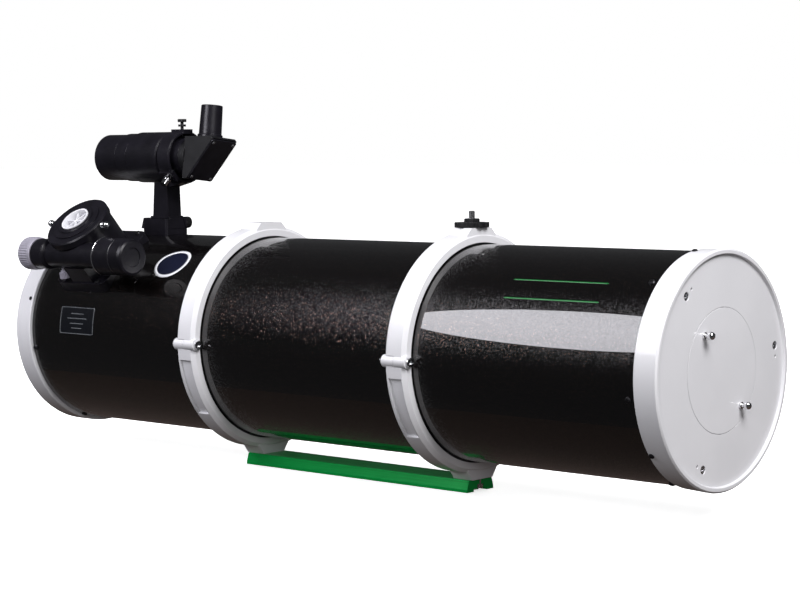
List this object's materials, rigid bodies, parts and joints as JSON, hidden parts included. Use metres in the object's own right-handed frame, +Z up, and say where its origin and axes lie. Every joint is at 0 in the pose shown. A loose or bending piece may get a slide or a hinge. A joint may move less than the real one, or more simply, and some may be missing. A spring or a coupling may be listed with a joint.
{
  "type": "newtonian telescope optical tube",
  "caption": "Closed-front Newtonian telescope tube in two hinged rings on a dovetail bar, with a dual-speed focuser and a right-angle finder.",
  "frame": {"origin": "centre of the dovetail bar's underside", "axes": "+X along the tube towards the mirror end, +Y away from the focuser side, +Z up"},
  "size_m": [0.9333, 0.2963, 0.4155],
  "materials": {
    "green_anodised": "satin anodised",
    "screw_steel": "bright",
    "white_paint": "gloss white enamel",
    "black_screw": "blackened",
    "felt": "matt",
    "black_plastic": "satin",
    "stud_steel": "bright",
    "tube_paint": "gloss, fine metal flake",
    "corrector_glass": "coated",
    "black_anodised": "satin anodised",
    "mirror": "polished",
    "cell_aluminium": "machined",
    "chrome": "polished",
    "cap_plastic": "translucent white",
    "silver_knob": "machined",
    "rubber": "matt",
    "lens_glass": "coated"
  },
  "bodies": {
    "cradle": {"dovetail_bar": "green_anodised", "ring_fasteners": "screw_steel", "front_ring_lower": "white_paint", "rear_ring_lower": "white_paint", "lower_felt_liners": "felt"},
    "front_ring_top": {"front_ring_upper": "white_paint", "front_upper_felt": "felt"},
    "rear_ring_top": {"rear_ring_upper": "white_paint", "rear_upper_felt": "felt", "camera_stud": "stud_steel"},
    "front_clamp": {"front_clamp_screw": "black_plastic"},
    "rear_clamp": {"rear_clamp_screw": "black_plastic"},
    "camera_wheel": {"camera_lock_wheel": "black_plastic"},
    "optical_tube": {"main_tube": "tube_paint", "front_end_ring": "white_paint", "rear_cell": "white_paint", "tube_screws": "black_screw", "corrector_cell": "black_anodised", "corrector_lens": "corrector_glass", "corrector_retaining_ring": "black_anodised", "focuser_base": "black_anodised", "focuser_body": "black_anodised", "drawtube_bearings": "screw_steel", "finder_shoe": "black_anodised"},
    "back_cover": {"rear_cover": "white_paint"},
    "cover_screw_upper": {"rear_cover_screw_upper": "chrome"},
    "cover_screw_lower": {"rear_cover_screw_lower": "chrome"},
    "secondary": {"secondary_holder": "black_anodised", "secondary_mirror": "mirror"},
    "primary": {"primary_mirror": "mirror", "mirror_cell": "cell_aluminium"},
    "collimator_1": {"collimation_screw_1": "screw_steel"},
    "collimator_2": {"collimation_screw_2": "screw_steel"},
    "collimator_3": {"collimation_screw_3": "screw_steel"},
    "drawtube_unit": {"drawtube": "silver_knob", "eyepiece_holder": "black_anodised", "eyepiece_adapter": "black_anodised"},
    "holder_screw_a": {"holder_screw_right": "chrome"},
    "holder_screw_b": {"holder_screw_left": "chrome"},
    "dust_cap": {"focuser_dust_cap": "cap_plastic"},
    "coarse_focus": {"coarse_shaft": "screw_steel", "coarse_knobs": "black_anodised"},
    "fine_focus": {"fine_knob": "silver_knob"},
    "focus_lock": {"focuser_lock_screw": "silver_knob"},
    "finder_mount": {"finder_bracket": "black_anodised", "plunger_barrel": "chrome"},
    "shoe_clamp": {"finder_shoe_screw": "black_plastic"},
    "aim_screw_top": {"finder_screw_top": "black_plastic"},
    "aim_screw_side": {"finder_screw_side": "black_plastic"},
    "plunger": {"plunger_pin": "screw_steel"},
    "aim_ring": {"finder_o_ring": "rubber"},
    "finder_scope": {"finder_tube": "black_anodised", "diagonal_housing": "black_plastic", "diagonal_cover": "black_anodised", "diagonal_screws": "screw_steel", "finder_optics": "lens_glass", "finder_eyepiece": "black_anodised"},
    "finder_front": {"finder_dew_shield": "black_anodised", "finder_objective": "lens_glass"},
    "finder_lock": {"finder_lock_ring": "black_anodised"}
  },
  "joints": [
    {"name": "tube_turn", "type": "hinge", "parent": "cradle", "child": "optical_tube", "pos_m": [0, 0, 0.147], "axis": [1, 0, 0], "range_deg": [-90, 90]},
    {"name": "front_ring_open", "type": "hinge", "parent": "cradle", "child": "front_ring_top", "pos_m": [-0.15425, -0.1225, 0.147], "axis": [1, 0, 0], "range_deg": [0, 95]},
    {"name": "rear_ring_open", "type": "hinge", "parent": "cradle", "child": "rear_ring_top", "pos_m": [0.15425, -0.1225, 0.147], "axis": [1, 0, 0], "range_deg": [0, 95]},
    {"name": "front_clamp_turn", "type": "hinge", "parent": "front_ring_top", "child": "front_clamp", "pos_m": [-0.15425, 0.1415, 0.147], "axis": [0, 0, 1], "continuous": true},
    {"name": "rear_clamp_turn", "type": "hinge", "parent": "rear_ring_top", "child": "rear_clamp", "pos_m": [0.15425, 0.1415, 0.147], "axis": [0, 0, 1], "continuous": true},
    {"name": "camera_wheel_turn", "type": "hinge", "parent": "rear_ring_top", "child": "camera_wheel", "pos_m": [0.15425, 0, 0.282], "axis": [0, 0, 1], "continuous": true},
    {"name": "back_cover_pull", "type": "slide", "parent": "optical_tube", "child": "back_cover", "axis": [1, 0, 0], "range_m": [0, 0.04]},
    {"name": "cover_screw_upper_turn", "type": "hinge", "parent": "back_cover", "child": "cover_screw_upper", "pos_m": [0.47, -0.03279, 0.18341], "axis": [1, 0, 0], "continuous": true},
    {"name": "cover_screw_lower_turn", "type": "hinge", "parent": "back_cover", "child": "cover_screw_lower", "pos_m": [0.47, 0.03279, 0.11059], "axis": [1, 0, 0], "continuous": true},
    {"name": "primary_shift", "type": "slide", "parent": "optical_tube", "child": "primary", "axis": [1, 0, 0], "range_m": [-0.0012, 0.0012]},
    {"name": "collimator_1_turn", "type": "hinge", "parent": "optical_tube", "child": "collimator_1", "pos_m": [0.455, -0.06299, 0.22207], "axis": [1, 0, 0], "range_deg": [-545, 545]},
    {"name": "collimator_2_turn", "type": "hinge", "parent": "optical_tube", "child": "collimator_2", "pos_m": [0.455, -0.03352, 0.05491], "axis": [1, 0, 0], "range_deg": [-545, 545]},
    {"name": "collimator_3_turn", "type": "hinge", "parent": "optical_tube", "child": "collimator_3", "pos_m": [0.455, 0.09651, 0.16402], "axis": [1, 0, 0], "range_deg": [-545, 545]},
    {"name": "secondary_turn", "type": "hinge", "parent": "optical_tube", "child": "secondary", "pos_m": [-0.4, 0, 0.147], "axis": [1, 0, 0], "range_deg": [-10, 10]},
    {"name": "drawtube_rack", "type": "slide", "parent": "optical_tube", "child": "drawtube_unit", "axis": [0, -0.6494, 0.7604], "range_m": [0, 0.045]},
    {"name": "coarse_focus_turn", "type": "hinge", "parent": "optical_tube", "child": "coarse_focus", "pos_m": [-0.349, -0.12099, 0.24093], "axis": [1, 0, 0], "range_deg": [0, 860]},
    {"name": "fine_focus_turn", "type": "hinge", "parent": "optical_tube", "child": "fine_focus", "pos_m": [-0.416, -0.12099, 0.24093], "axis": [1, 0, 0], "range_deg": [0, 8596]},
    {"name": "focus_lock_turn", "type": "hinge", "parent": "optical_tube", "child": "focus_lock", "pos_m": [-0.369, -0.11601, 0.21643], "axis": [0, 0.1994, -0.9799], "continuous": true},
    {"name": "holder_screw_a_turn", "type": "hinge", "parent": "drawtube_unit", "child": "holder_screw_a", "pos_m": [-0.304, -0.11041, 0.27627], "axis": [1, 0, 0], "continuous": true},
    {"name": "holder_screw_b_turn", "type": "hinge", "parent": "drawtube_unit", "child": "holder_screw_b", "pos_m": [-0.394, -0.11041, 0.27627], "axis": [-1, 0, 0], "continuous": true},
    {"name": "dust_cap_pull", "type": "slide", "parent": "drawtube_unit", "child": "dust_cap", "axis": [0, -0.6494, 0.7604], "range_m": [0, 0.03]},
    {"name": "finder_slide", "type": "slide", "parent": "optical_tube", "child": "finder_mount", "axis": [-1, 0, 0], "range_m": [0, 0.045]},
    {"name": "shoe_clamp_turn", "type": "hinge", "parent": "optical_tube", "child": "shoe_clamp", "pos_m": [-0.31, 0.024, 0.275], "axis": [0, 1, 0], "continuous": true},
    {"name": "aim_screw_top_turn", "type": "hinge", "parent": "finder_mount", "child": "aim_screw_top", "pos_m": [-0.288, 0, 0.3935], "axis": [0, 0, 1], "continuous": true},
    {"name": "aim_screw_side_turn", "type": "hinge", "parent": "finder_mount", "child": "aim_screw_side", "pos_m": [-0.288, 0.04, 0.3535], "axis": [0, 1, 0], "continuous": true},
    {"name": "plunger_press", "type": "slide", "parent": "finder_mount", "child": "plunger", "axis": [0, -0.7071, -0.7071], "range_m": [0, 0.003], "stiffness_N_per_m": 600},
    {"name": "finder_yaw", "type": "hinge", "parent": "finder_mount", "child": "aim_ring", "pos_m": [-0.2955, 0, 0.3535], "axis": [0, 0, 1], "range_deg": [-0.8, 0.8]},
    {"name": "finder_pitch", "type": "hinge", "parent": "aim_ring", "child": "finder_scope", "pos_m": [-0.2955, 0, 0.3535], "axis": [0, 1, 0], "range_deg": [-0.8, 0.8]},
    {"name": "finder_focus", "type": "hinge", "parent": "finder_scope", "child": "finder_front", "pos_m": [-0.38, 0, 0.3535], "axis": [1, 0, 0], "range_deg": [-180, 180]},
    {"name": "finder_lock_turn", "type": "hinge", "parent": "finder_scope", "child": "finder_lock", "pos_m": [-0.368, 0, 0.3535], "axis": [1, 0, 0], "range_deg": [-180, 180]}
  ],
  "couplings": [
    {"joint": "coarse_focus_turn", "follows": "drawtube_rack", "rad_per_m": 333.33},
    {"joint": "fine_focus_turn", "follows": "drawtube_rack", "rad_per_m": 3333.3},
    {"joint": "collimator_1_turn", "follows": "primary_shift", "rad_per_m": 7854},
    {"joint": "collimator_2_turn", "follows": "primary_shift", "rad_per_m": 7854},
    {"joint": "collimator_3_turn", "follows": "primary_shift", "rad_per_m": 7854}
  ]
}
